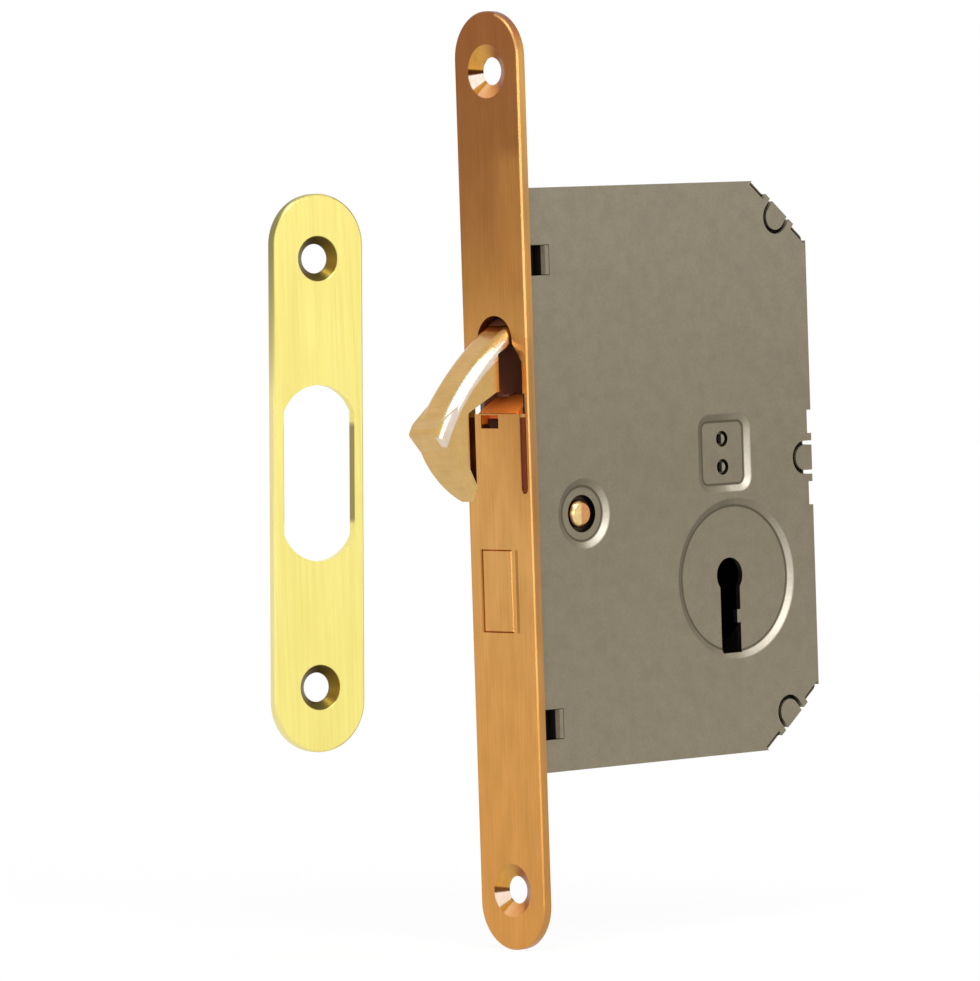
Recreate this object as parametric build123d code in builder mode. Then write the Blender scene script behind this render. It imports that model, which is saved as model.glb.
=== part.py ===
from build123d import *
from math import acos, atan, atan2, cos, degrees, radians, sin, sqrt, tan
import os

# Hook lock for a sliding door, with its separate strike plate.
# The origin is the middle of the forend's front face. X runs into the door,
# -Y is the side of the case that carries the cover, Z is up.

# Forend: the round-ended plate on the door's edge
forend_length = 196.0
forend_width = 19.5
forend_thickness = 2.0
screw_pitch = 171.0
screw_bore = 5.8
screw_mouth = 11.4
screw_land = 0.35
arch_top = 34.6
arch_radius = 5.3
arch_side = 0.5
flare_height = 3.9
window_rim = 1.65
window_step = 18.4
slot_rim = 0.95
tongue_top = 14.1
tongue_slot = 1.95
tongue_slot_foot = -2.5
tongue_hole_width = 5.3
tongue_hole_height = 2.8
tongue_hole_middle = 2.3
tongue_hole_drop = 0.2
lip_end_angle = 113.0
lip_side_gap = 0.2
anchor_height = 17.4
anchor_middle = -22.9
anchor_near = -3.2
anchor_depth = 8.0
anchor_edge = 0.35
edge_break = 0.3

# Case: a pressed tray and a flat cover
case_height = 122.0
case_depth = 85.0
case_thickness = 14.4
sheet = 1.2
corner_run = 15.0
corner_rise = 12.4
corner_round = 1.6
bend_radius = 1.5
press_depth = 0.8
press_slope = 65.0

# Folded lugs that hold the cover, the slits beside them and the notches further along
lug_width = 5.4
lug_reach = 4.9
lug_gap = 0.9
lug_ledge = 0.9
back_lug_height = 1.2
notch_length = 5.0
notch_depth = 1.4
notch_spacing = 15.4
slit_drop = 1.5

# Small windows of the cover, where the forend's own lugs show
lug_window_start = 0.6
lug_window_length = 7.0
lug_window_height = 6.4
lug_window_top_inset = 15.1
lug_window_foot_inset = 10.0
forend_lug_length = 14.0
forend_lug_gap = 0.15
forend_lug_ramp = 1.3
forend_lug_nose = 2.3
forend_lug_foot = 9.6

# Hook
pivot_x = 17.3
pivot_z = -7.5
pin_diameter = 5.8
pin_fit = 0.05
pin_window = 7.9
pin_dish = 15.0
pin_edge = 0.7
hook_thickness = 9.4
hook_reach = 42.6
hook_nose_angle = 152.9
nose_low_reach = 42.1
nose_low_angle = 154.5
nose_root_reach = 40.2
nose_root_angle = 143.2
nose_foot_reach = 37.8
nose_foot_angle = 157.3
nose_edge_round = 1.0
nose_turn = 40.0
rim_reach = 41.7
rim_front_angle = 153.0
rim_middle_angle = 129.0
rim_rear_reach = 43.85
rim_rear_angle = 107.4
rim_round = 2.4
hook_hub = 16.0
hook_web = 3.7
web_reach = 40.0
hook_step_front = 3.4
mouth_depth = 12.7
mouth_rise = 0.5
mouth_corner = 1.6
mouth_roof_front = -4.0
mouth_roof_rise = 4.8
hook_shoulder_back = 4.5
shoulder_reach = 28.6
lip_groove_gap = 0.45
lip_groove_back = 1.8
beak_bend_height = 4.1
beak_inner_reach = 28.5
beak_inner_angle = 165.7
beak_tip_reach = 29.2
beak_tip_angle = 172.3
beak_tip_round = 0.5
beak_tip_width = 3.5
beak_round_top = 5.0
beak_round_side = 1.5
beak_round_middle = 0.4
washer_diameter = 13.0
washer_thickness = 1.1
washer_gap = 0.1
pin_depth = 0.6
stop_pin_diameter = 4.0
stop_pin_height = 6.0
stop_pin_gap = 0.15

# Drive: slide, stud and stump
swing_angle = 46.0
stud_radius = 17.5
stud_diameter = 4.0
stud_end = 0.6
slide_fit = 0.15
slide_thickness = 2.0
slide_far_face = -0.6
slide_wall = 2.1
slide_plate_start = 28.0
slide_plate_tail = 9.0
slide_plate_bottom = -10.0
slide_corner = 1.5
talon_width = 9.0
talon_height = 4.4
stump_diameter = 4.0
stump_ahead = 14.5
stump_z = -2.5
stump_end = 0.3

# Guide block that the slide runs on, staked to the cover
guide_ahead = 1.1
guide_z = 3.3
guide_length = 8.0
guide_height = 4.0
guide_block_length = 11.0
guide_block_height = 12.0
guide_post_diameter = 2.0
guide_post_hole = 3.4
guide_post_pitch = 6.0
guide_post_depth = 0.25
guide_recess_width = 15.7
guide_recess_height = 16.9
guide_recess_corner = 3.4

# Keyhole
key_inset = 25.0
key_z = -22.9
key_bore = 7.6
key_slot_width = 5.8
key_slot_reach = 16.6
key_ward = 1.0
key_ward_height = 2.8
key_ward_drop = 8.8
key_recess = 34.6
key_recess_behind = 1.3
key_recess_drop = 0.7

# Levers, their post and their springs
lever_post_inset = 9.0
lever_post_z = 8.5
lever_post_diameter = 5.0
lever_hub = 10.0
lever_thickness = 1.2
lever_gap = 0.15
lever_ahead = 18.8
lever_bottom = -11.0
lever_heel = 8.0
lever_window_wall = 2.0
lever_window_length = 20.4
lever_window_height = 7.3
lever_window_foot = -7.1
lever_gate_ahead = 10.1
lever_gate_width = 3.0
lever_gate_drop = 1.65
belly_radius = 13.9
belly_step = 0.5
spacer_wall = 2.0
spring_strip = 0.4
spring_root_behind = 6.0
spring_knee = 2.0
spring_post_ahead = 8.0
spring_post_z = 21.0
spring_post_diameter = 4.0
spring_gap = 0.1

# Strike plate, standing beside the lock
strike_length = 114.0
strike_width = 21.0
strike_thickness = 2.0
strike_edge = 0.4
strike_screw_pitch = 87.5
strike_screw_bore = 6.0
strike_screw_mouth = 9.4
strike_slot_width = 16.4
strike_slot_length = 36.0
strike_slot_round = 8.9
strike_x = -49.6
strike_z = 4.2
strike_turn = 12.0
strike_lean = 1.8

# One overrun for every cut
overrun = 1.0

# Places that follow from the sizes above
forend_back = forend_thickness
half_case = case_thickness / 2
cover_outside = -half_case
cover_inside = -half_case + sheet
floor_inside = half_case - sheet
hook_far = hook_thickness / 2
hook_near = -hook_far
web_face = hook_far - hook_web
window_half = forend_width / 2 - window_rim
slot_edge = forend_width / 2 - slot_rim
tongue_half = slot_edge - tongue_slot
lip_reach = sqrt(pivot_x**2 + (tongue_top - pivot_z) ** 2)
lug_window_upper = case_height / 2 - lug_window_top_inset
lug_window_lower = lug_window_foot_inset - case_height / 2
key_x = case_depth - key_inset
key_recess_x = key_x + key_recess_behind
key_recess_z = key_z - key_recess_drop
guide_x = key_x - guide_ahead
slide_plate_end = key_x + slide_plate_tail
slide_near_face = slide_far_face - slide_thickness
stump_x = key_x - stump_ahead
stud_angle = 90.0 + swing_angle / 2
stud_x = pivot_x + stud_radius * cos(radians(stud_angle))
stud_z = pivot_z + stud_radius * sin(radians(stud_angle))
slide_travel = -2 * stud_radius * cos(radians(stud_angle))
mouth_top = tongue_top + mouth_rise
corner_angle = degrees(atan2(corner_run, corner_rise))
lever_post_x = case_depth - lever_post_inset
lever_left = key_x - lever_ahead
lever_gate_left = key_x - lever_gate_ahead
lever_faces = [slide_far_face + lever_gap + n * (lever_thickness + lever_gap) for n in range(2)]
spring_root_x = key_x + spring_root_behind
spring_post_x = key_x - spring_post_ahead


def side(y):
    """Plane seen from the cover's side at depth y, with X across and Z up."""
    return Plane.XZ.offset(-y)


def on_circle(centre_x, centre_z, radius, angle):
    return (centre_x + radius * cos(radians(angle)), centre_z + radius * sin(radians(angle)))


def finish(piece, name):
    piece.part.label = name
    export_step(piece.part, "parts/" + name + ".step")


def sink_angle(mouth, bore, thickness):
    """Full angle of a countersink that leaves a short straight land at the back."""
    return 2 * degrees(atan((mouth - bore) / 2 / (thickness - screw_land)))


def round_ended(length, width):
    """Upright plate outline with full-round ends."""
    SlotOverall(length, width, rotation=90)


def case_outline(inset=0.0):
    """Outline of the case in X and Z with its two cut back corners."""
    half = case_height / 2 - inset
    back = case_depth - inset
    run = corner_run - inset * (1 - tan(radians(45 - corner_angle / 2)))
    rise = corner_rise - inset * (1 - tan(radians(corner_angle / 2)))
    with BuildSketch(mode=Mode.PRIVATE) as outline:
        with BuildLine():
            Polyline(
                (forend_back, -half),
                (back - run, -half),
                (back, -half + rise),
                (back, half - rise),
                (back - run, half),
                (forend_back, half),
                close=True,
            )
        make_face()
    return outline.sketch


def lug_sites():
    """Middle of each folded lug on the case's edge, with the edge's outward angle."""
    slant_x = case_depth - corner_run / 2
    slant_z = (case_height - corner_rise) / 2
    return [
        (case_depth, back_lug_height, 0.0),
        (slant_x, slant_z, corner_angle),
        (slant_x, -slant_z, -corner_angle),
    ]


def lug_shape(reach, width):
    """D-shaped tab that reaches inwards from the case's edge."""
    with Locations((-reach + width / 2, 0)):
        Circle(width / 2)
    Rectangle(reach - width / 2, width, align=(Align.MAX, Align.CENTER))
    Rectangle(width, width, align=(Align.MIN, Align.CENTER), mode=Mode.SUBTRACT)


def pair_of_cuts(depth, length, spacing):
    """Two cuts into the edge, one on each side of a lug."""
    with Locations((0, spacing / 2), (0, -spacing / 2)):
        Rectangle(2 * depth, length)


def keyhole():
    """Round key bore with its bit slot and one small ward."""
    with Locations((key_x, key_z)):
        Circle(key_bore / 2)
    with Locations((key_x, key_z)):
        Rectangle(key_slot_width, key_slot_reach, align=(Align.CENTER, Align.MAX))
    with Locations((key_x + key_slot_width / 2, key_z - key_ward_drop)):
        Rectangle(2 * key_ward, key_ward_height, mode=Mode.SUBTRACT)


def forend_window():
    """Arched hook window that spreads downwards and runs on as two slots beside the tongue."""
    arch_middle = arch_top - arch_radius
    flare_top = arch_middle - arch_side
    flare_foot = flare_top - flare_height
    slot_end = tongue_slot_foot + tongue_slot / 2
    slot_middle = tongue_half + tongue_slot / 2
    with BuildSketch(mode=Mode.PRIVATE) as window:
        with BuildLine():
            Polyline(
                (arch_radius, arch_middle),
                (arch_radius, flare_top),
                (window_half, flare_foot),
                (window_half, window_step),
                (slot_edge, window_step),
                (slot_edge, slot_end),
            )
            ThreePointArc((slot_edge, slot_end), (slot_middle, tongue_slot_foot), (tongue_half, slot_end))
            Polyline(
                (tongue_half, slot_end),
                (tongue_half, tongue_top),
                (-tongue_half, tongue_top),
                (-tongue_half, slot_end),
            )
            ThreePointArc((-tongue_half, slot_end), (-slot_middle, tongue_slot_foot), (-slot_edge, slot_end))
            Polyline(
                (-slot_edge, slot_end),
                (-slot_edge, window_step),
                (-window_half, window_step),
                (-window_half, flare_foot),
                (-arch_radius, flare_top),
                (-arch_radius, arch_middle),
            )
            ThreePointArc((-arch_radius, arch_middle), (0, arch_top), (arch_radius, arch_middle))
        make_face()
    return window.sketch


def make_forend():
    front = Plane(origin=(0, 0, 0), x_dir=(0, -1, 0), z_dir=(-1, 0, 0))
    with BuildPart() as forend_plate:
        with BuildSketch(Plane.YZ):
            round_ended(forend_length, forend_width)
        extrude(amount=forend_thickness)
        front_rim = forend_plate.faces().sort_by(Axis.X)[0].edges()
        chamfer(front_rim, edge_break)
        with Locations(front):
            with GridLocations(0, screw_pitch, 1, 2):
                CounterSinkHole(
                    screw_bore / 2,
                    screw_mouth / 2,
                    forend_thickness,
                    sink_angle(screw_mouth, screw_bore, forend_thickness),
                )
        with BuildSketch(Plane.YZ):
            add(forend_window())
        extrude(amount=forend_thickness, mode=Mode.SUBTRACT)
        # the tongue's bent lip, round the pivot so that the beak slides over it
        lip_root_angle = degrees(atan2(tongue_top - pivot_z, -pivot_x))
        lip_half = floor_inside - lip_side_gap
        with BuildSketch(side(lip_half)):
            with BuildLine():
                CenterArc((pivot_x, pivot_z), lip_reach, lip_end_angle, lip_root_angle - lip_end_angle)
                CenterArc(
                    (pivot_x, pivot_z), lip_reach - forend_thickness, lip_end_angle, lip_root_angle - lip_end_angle
                )
                for angle in (lip_end_angle, lip_root_angle):
                    Line(
                        on_circle(pivot_x, pivot_z, lip_reach, angle),
                        on_circle(pivot_x, pivot_z, lip_reach - forend_thickness, angle),
                    )
            make_face()
        extrude(amount=2 * lip_half)
        with BuildSketch(Plane.YZ):
            with Locations((tongue_hole_middle, tongue_top - tongue_hole_drop)):
                Rectangle(tongue_hole_width, tongue_hole_height, align=(Align.CENTER, Align.MAX))
        extrude(amount=forend_thickness, mode=Mode.SUBTRACT)
        with BuildSketch(Plane.YZ):
            with Locations((anchor_near, anchor_middle)):
                Rectangle(floor_inside - anchor_near, anchor_height, align=(Align.MIN, Align.CENTER))
        extrude(amount=forend_thickness, mode=Mode.SUBTRACT)
    finish(forend_plate, "forend_plate")


def make_anchor_block():
    """Block behind the forend, its tenon staked flush with the front face."""
    width = floor_inside - anchor_near
    shoulder = (floor_inside - cover_inside - width) / 2
    with BuildPart() as forend_anchor_block:
        with BuildSketch(Plane.YZ):
            with Locations((anchor_near, anchor_middle)):
                Rectangle(width, anchor_height, align=(Align.MIN, Align.CENTER))
        extrude(amount=forend_back + anchor_depth)
        front_rim = forend_anchor_block.faces().sort_by(Axis.X)[0].edges()
        chamfer(front_rim, anchor_edge)
        with BuildSketch(Plane.YZ.offset(forend_back)):
            with Locations((anchor_near, anchor_middle)):
                Rectangle(shoulder, anchor_height, align=(Align.MAX, Align.CENTER))
        extrude(amount=anchor_depth)
    finish(forend_anchor_block, "forend_anchor_block")


def make_forend_lugs():
    """Bent straps behind the forend whose noses catch in the cover's small windows."""
    strap_far = cover_inside + 2 * sheet
    strap_near = cover_inside + sheet
    window_end = forend_back + lug_window_start + lug_window_length
    nose_end = window_end - forend_lug_gap
    strap_height = lug_window_height - 2 * forend_lug_gap
    for name, height in (("forend_lug_upper", lug_window_upper), ("forend_lug_lower", lug_window_lower)):
        with BuildPart() as strap:
            with BuildSketch(Plane.XY.offset(height - strap_height / 2)):
                with BuildLine():
                    Polyline(
                        (forend_back, strap_near),
                        (nose_end - forend_lug_nose, strap_near),
                        (nose_end - forend_lug_nose + forend_lug_ramp, cover_outside),
                        (nose_end, cover_outside),
                        (nose_end, strap_near),
                        (forend_back + forend_lug_length, strap_near),
                        (forend_back + forend_lug_length, strap_far),
                        (forend_back + sheet, strap_far),
                        (forend_back + sheet, strap_near + forend_lug_foot),
                        (forend_back, strap_near + forend_lug_foot),
                        close=True,
                    )
                make_face()
            extrude(amount=strap_height)
        finish(strap, name)


def make_case_box():
    wall_depth = floor_inside - cover_inside
    with BuildPart() as case_box:
        with BuildSketch(side(half_case)):
            add(case_outline())
        extrude(amount=half_case - cover_inside)
        slants = case_box.edges().filter_by(Axis.Y).group_by(Axis.X)[1:]
        fillet([edge for group in slants for edge in group], corner_round)
        floor_rim = case_box.faces().sort_by(Axis.Y)[-1].edges().sort_by(Axis.X)[1:]
        fillet(floor_rim, bend_radius)
        with BuildSketch(side(floor_inside)):
            add(case_outline(sheet))
        extrude(amount=wall_depth, mode=Mode.SUBTRACT)
        # slits in the wall beside each lug, so that it folds
        for x, z, angle in lug_sites():
            with BuildSketch(side(cover_inside + slit_drop)):
                with Locations(Location((x, z), angle)):
                    pair_of_cuts(sheet, lug_gap, lug_width + lug_gap)
            extrude(amount=slit_drop, mode=Mode.SUBTRACT)
        # lugs folded over the cover
        for x, z, angle in lug_sites():
            with BuildSketch(side(cover_inside)):
                with Locations(Location((x, z), angle)):
                    lug_shape(lug_reach, lug_width)
            extrude(amount=sheet)
        # holes in the floor
        with BuildSketch(side(half_case)):
            keyhole()
            with Locations((pivot_x, pivot_z)):
                Circle(pin_diameter / 2)
            with Locations((lever_post_x, lever_post_z)):
                Circle(lever_post_diameter / 2)
            with Locations((spring_post_x, spring_post_z)):
                Circle(spring_post_diameter / 2)
            with Locations((stop_pin_x(), stop_pin_height)):
                Circle(stop_pin_diameter / 2)
        extrude(amount=sheet, mode=Mode.SUBTRACT)
    finish(case_box, "case_box")


def make_case_cover():
    draw = press_depth * tan(radians(press_slope))
    pad_face = cover_inside + press_depth
    with BuildPart() as case_cover:
        with BuildSketch(side(cover_inside)):
            add(case_outline())
        extrude(amount=sheet)
        corners = case_cover.edges().filter_by(Axis.Y).group_by(Axis.X)[1:]
        fillet([edge for group in corners for edge in group], corner_round)
        # metal pushed inwards behind each recess
        with BuildSketch(side(pad_face)):
            with Locations((key_recess_x, key_recess_z)):
                Circle(key_recess / 2 + draw)
            with Locations((guide_x, guide_z)):
                Rectangle(guide_recess_width + 2 * draw, guide_recess_height + 2 * draw)
            with Locations((pivot_x, pivot_z)):
                Circle(pin_dish / 2 + draw)
        extrude(amount=press_depth)
        # the recesses themselves, with sloping sides
        with BuildSketch(side(cover_outside)):
            with Locations((key_recess_x, key_recess_z)):
                Circle(key_recess / 2)
            with Locations((guide_x, guide_z)):
                RectangleRounded(guide_recess_width, guide_recess_height, guide_recess_corner)
            with Locations((pivot_x, pivot_z)):
                Circle(pin_dish / 2)
        extrude(amount=-press_depth, taper=press_slope, mode=Mode.SUBTRACT)
        # ledges that the folded lugs lie on, and the notches further along the edge
        for x, z, angle in lug_sites():
            with BuildSketch(side(cover_inside + sheet)):
                with Locations(Location((x, z), angle)):
                    lug_shape(lug_reach + lug_gap + lug_ledge, lug_width + 2 * (lug_gap + lug_ledge))
                    Rectangle(2 * (sheet + lug_gap), case_height, mode=Mode.SUBTRACT)
            extrude(amount=sheet)
            with BuildSketch(side(cover_inside)):
                with Locations(Location((x, z), angle)):
                    lug_shape(lug_reach + lug_gap, lug_width + 2 * lug_gap)
                    pair_of_cuts(notch_depth, notch_length, notch_spacing)
            extrude(amount=sheet, mode=Mode.SUBTRACT)
        # holes through the cover
        with BuildSketch(side(pad_face)):
            keyhole()
            with Locations((pivot_x, pivot_z)):
                Circle(pin_window / 2)
            with Locations((guide_x, guide_z)):
                with GridLocations(0, guide_post_pitch, 1, 2):
                    Circle(guide_post_hole / 2)
            for height in (lug_window_upper, lug_window_lower):
                with Locations((forend_back + lug_window_start, height)):
                    Rectangle(lug_window_length, lug_window_height, align=(Align.MIN, Align.CENTER))
        extrude(amount=press_depth + sheet, mode=Mode.SUBTRACT)
    finish(case_cover, "case_cover")


def tangent_point(point, turn):
    """Where a line from a point touches the hub, on the side given by turn."""
    dx = point[0] - pivot_x
    dz = point[1] - pivot_z
    away = sqrt(dx**2 + dz**2)
    angle = degrees(atan2(dz, dx)) + turn * degrees(acos(hook_hub / 2 / away))
    return on_circle(pivot_x, pivot_z, hook_hub / 2, angle)


def stop_pin_x():
    """The stop pin stands just clear of the hook's front edge at rest."""
    top = (hook_shoulder_back, mouth_top)
    foot = tangent_point(top, 1)
    lean = (foot[0] - top[0]) / (top[1] - foot[1])
    edge_x = top[0] + (top[1] - stop_pin_height) * lean
    return edge_x - (stop_pin_diameter / 2 + stop_pin_gap) * sqrt(1 + lean**2)


def around_pivot(reach, angle):
    return on_circle(pivot_x, pivot_z, reach, angle)


def hook_outline():
    """Side view of the hook at rest, with the beak out."""
    rear = around_pivot(rim_rear_reach, rim_rear_angle)
    front = around_pivot(rim_reach, rim_front_angle)
    inner_bend = (-mouth_depth, beak_bend_height)
    mouth_inner = (-mouth_depth, mouth_top)
    shoulder = (hook_shoulder_back, mouth_top)
    above_lip = (hook_shoulder_back, pivot_z + sqrt(shoulder_reach**2 - (pivot_x - hook_shoulder_back) ** 2))
    hub_left = tangent_point(shoulder, 1)
    hub_right = tangent_point(rear, -1)
    with BuildSketch(mode=Mode.PRIVATE) as outline:
        with BuildLine():
            ThreePointArc(rear, around_pivot(rim_reach, rim_middle_angle), front)
            Polyline(
                front,
                around_pivot(beak_tip_reach, beak_tip_angle),
                around_pivot(beak_inner_reach, beak_inner_angle),
                inner_bend,
                mouth_inner,
                (mouth_roof_front, tongue_top + mouth_roof_rise),
                above_lip,
                shoulder,
                hub_left,
            )
            ThreePointArc(hub_left, (pivot_x, pivot_z - hook_hub / 2), hub_right)
            Line(hub_right, rear)
        make_face()
        corners = outline.vertices()
        fillet(corners.sort_by_distance(mouth_inner)[0], mouth_corner)
        fillet(corners.sort_by_distance(around_pivot(beak_tip_reach, beak_tip_angle))[0], beak_tip_round)
    return outline.sketch


def radial_plane(angle):
    """Plane through the pivot's axis, with its first axis pointing outwards at an angle."""
    outward = (cos(radians(angle)), 0, sin(radians(angle)))
    normal = (-sin(radians(angle)), 0, cos(radians(angle)))
    return Plane(origin=(pivot_x, 0, pivot_z), x_dir=outward, z_dir=normal)


def make_hook():
    pivot_line = Axis((pivot_x, 0, pivot_z), (0, 1, 0))
    hub_near = cover_inside + press_depth + washer_thickness + washer_gap
    tip_far = hook_near + beak_tip_width
    tip_foot = pivot_z + beak_tip_reach * sin(radians(beak_tip_angle))
    with BuildPart() as hook_bolt:
        with BuildSketch(side(hook_far)):
            add(hook_outline())
        extrude(amount=hook_thickness)
        # the two long rounded edges of the rim
        fillet(hook_bolt.edges().filter_by(GeomType.CIRCLE).group_by(Axis.Z)[-1], rim_round)
        # nose at the rim's end, standing a little proud and sharper on its far side
        with BuildSketch(side(hook_far)):
            with BuildLine():
                Polyline(
                    around_pivot(nose_root_reach, nose_root_angle),
                    around_pivot(hook_reach, hook_nose_angle),
                    around_pivot(nose_low_reach, nose_low_angle),
                    around_pivot(nose_foot_reach, nose_foot_angle),
                    close=True,
                )
            make_face()
        extrude(amount=hook_thickness)
        with BuildSketch(radial_plane(nose_root_angle + nose_turn)):
            Rectangle(hook_reach + hook_thickness, 2 * hook_thickness, align=(Align.MIN, Align.CENTER))
            RectangleRounded(2 * hook_reach, hook_thickness, rim_round, mode=Mode.SUBTRACT)
            with Locations((0, hook_far / 2)):
                RectangleRounded(2 * hook_reach, hook_far, nose_edge_round, mode=Mode.SUBTRACT)
        revolve(axis=pivot_line, revolution_arc=nose_turn, mode=Mode.SUBTRACT)
        # stepped side that the slide works in, open inside the case
        with BuildSketch(side(web_face)):
            with Locations((pivot_x, pivot_z)):
                Circle(web_reach)
            with Locations((-hook_step_front, pivot_z)):
                Rectangle(hook_reach, 2 * hook_reach, align=(Align.MAX, Align.CENTER), mode=Mode.SUBTRACT)
            with Locations((pivot_x, pivot_z)):
                Circle(hook_hub / 2, mode=Mode.SUBTRACT)
        extrude(amount=web_face - hook_near + overrun, mode=Mode.SUBTRACT)
        # groove that clears the forend's bent lip
        with BuildSketch(side(hook_far)):
            with BuildLine():
                inner = lip_reach - forend_thickness - lip_groove_gap
                outer = lip_reach + lip_groove_gap
                start = lip_end_angle - lip_groove_back
                CenterArc((pivot_x, pivot_z), inner, start, 90 - start / 2)
                CenterArc((pivot_x, pivot_z), outer, start, 90 - start / 2)
                for angle in (start, 90 + start / 2):
                    Line(around_pivot(inner, angle), around_pivot(outer, angle))
            make_face()
        extrude(amount=hook_thickness, mode=Mode.SUBTRACT)
        # the hub's near face, set back for its washer
        with BuildSketch(side(hub_near)):
            with Locations((pivot_x, pivot_z)):
                Circle(hook_hub / 2 + overrun)
        extrude(amount=hub_near - hook_near + overrun, mode=Mode.SUBTRACT)
        # the beak's far side, rounded off towards the tip
        with BuildSketch(Plane.YZ.offset(-hook_reach)):
            with BuildLine():
                ThreePointArc(
                    (hook_far, beak_round_top),
                    (hook_far - beak_round_side, beak_round_middle),
                    (tip_far, tip_foot),
                )
                Polyline(
                    (tip_far, tip_foot),
                    (tip_far, tip_foot - overrun),
                    (hook_far + overrun, tip_foot - overrun),
                    (hook_far + overrun, beak_round_top),
                    (hook_far, beak_round_top),
                )
            make_face()
        extrude(amount=hook_reach - mouth_depth / 2, mode=Mode.SUBTRACT)
        # bores for the pivot pin and the stud
        with BuildSketch(side(hook_far)):
            with Locations((pivot_x, pivot_z)):
                Circle(pin_diameter / 2 + pin_fit)
            with Locations((stud_x, stud_z)):
                Circle(stud_diameter / 2)
        extrude(amount=hook_thickness, mode=Mode.SUBTRACT)
    finish(hook_bolt, "hook_bolt")


def round_pin(name, x, z, diameter, far_y, near_y):
    with BuildPart() as pin:
        with BuildSketch(side(far_y)):
            with Locations((x, z)):
                Circle(diameter / 2)
        extrude(amount=far_y - near_y)
    finish(pin, name)


def ring(name, x, z, outer, inner, far_y, near_y):
    with BuildPart() as washer:
        with BuildSketch(side(far_y)):
            with Locations((x, z)):
                Circle(outer / 2)
                Circle(inner / 2, mode=Mode.SUBTRACT)
        extrude(amount=far_y - near_y)
    finish(washer, name)


def make_pins():
    pad_face = cover_inside + press_depth
    hub_bore = pin_diameter + 2 * pin_fit
    pin_head = cover_outside + pin_depth
    with BuildPart() as pivot_pin:
        with BuildSketch(side(half_case)):
            with Locations((pivot_x, pivot_z)):
                Circle(pin_diameter / 2)
        extrude(amount=half_case - pin_head)
        chamfer(pivot_pin.faces().sort_by(Axis.Y)[0].edges(), pin_edge)
    finish(pivot_pin, "hook_pivot_pin")
    ring("hook_washer_near", pivot_x, pivot_z, washer_diameter, hub_bore, pad_face + washer_thickness, pad_face)
    ring("hook_washer_far", pivot_x, pivot_z, washer_diameter, hub_bore, floor_inside, hook_far + washer_gap)
    round_pin("hook_drive_stud", stud_x, stud_z, stud_diameter, hook_far, slide_near_face - stud_end)
    round_pin("hook_stop_pin", stop_pin_x(), stop_pin_height, stop_pin_diameter, half_case, cover_inside)
    round_pin("slide_stump", stump_x, stump_z, stump_diameter, lever_faces[-1] + lever_thickness + stump_end,
              slide_near_face)
    round_pin("lever_post", lever_post_x, lever_post_z, lever_post_diameter, half_case, lever_faces[0])
    round_pin("spring_post", spring_post_x, spring_post_z, spring_post_diameter, half_case, lever_faces[0])
    ring("lever_spacer", lever_post_x, lever_post_z, lever_post_diameter + 2 * spacer_wall,
         lever_post_diameter + 2 * pin_fit, floor_inside, lever_faces[-1] + lever_thickness + pin_fit)


def make_bolt_slide():
    """Plate that the key draws back: stud slot in front, talon notch over the key."""
    slot_half = stud_diameter / 2 + slide_fit
    arm_left = stud_x - slot_half - slide_wall
    arm_bottom = stud_z - slot_half - slide_wall
    slot_top = pivot_z + stud_radius + slot_half
    plate_top = slot_top + slide_wall
    with BuildPart() as bolt_slide:
        with BuildSketch(side(slide_far_face)) as outline:
            with BuildLine():
                Polyline(
                    (arm_left, arm_bottom),
                    (slide_plate_start, arm_bottom),
                    (slide_plate_start, slide_plate_bottom),
                    (slide_plate_end, slide_plate_bottom),
                    (slide_plate_end, plate_top),
                    (arm_left, plate_top),
                    close=True,
                )
            make_face()
            fillet(outline.vertices(), slide_corner)
            with Locations((stud_x, (stud_z + pivot_z + stud_radius) / 2)):
                Rectangle(
                    2 * slot_half, pivot_z + stud_radius - stud_z + 2 * slot_half, mode=Mode.SUBTRACT
                )
            with Locations((key_x - slide_travel / 2, slide_plate_bottom)):
                Rectangle(talon_width, 2 * talon_height, mode=Mode.SUBTRACT)
            with Locations((guide_x + guide_length / 2 + slide_fit, guide_z)):
                Rectangle(
                    guide_length + slide_travel + 2 * slide_fit,
                    guide_height + 2 * slide_fit,
                    align=(Align.MAX, Align.CENTER),
                    mode=Mode.SUBTRACT,
                )
            with Locations((stump_x, stump_z)):
                Circle(stump_diameter / 2, mode=Mode.SUBTRACT)
        extrude(amount=slide_thickness)
    finish(bolt_slide, "bolt_slide")


def make_slide_guide():
    """Block behind the cover: its rib carries the slide, its two posts are staked in the recess."""
    pad_face = cover_inside + press_depth
    block_face = slide_near_face - slide_fit
    post_end = cover_outside + press_depth + guide_post_depth
    with BuildPart() as slide_guide:
        with BuildSketch(side(slide_far_face)):
            with Locations((guide_x, guide_z)):
                Rectangle(guide_length, guide_height)
        extrude(amount=slide_far_face - block_face)
        with BuildSketch(side(block_face)):
            with Locations((guide_x, guide_z)):
                Rectangle(guide_block_length, guide_block_height)
        extrude(amount=block_face - pad_face)
        with BuildSketch(side(pad_face)):
            with Locations((guide_x, guide_z)):
                with GridLocations(0, guide_post_pitch, 1, 2):
                    Circle(guide_post_diameter / 2)
        extrude(amount=pad_face - post_end)
    finish(slide_guide, "slide_guide")


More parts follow.
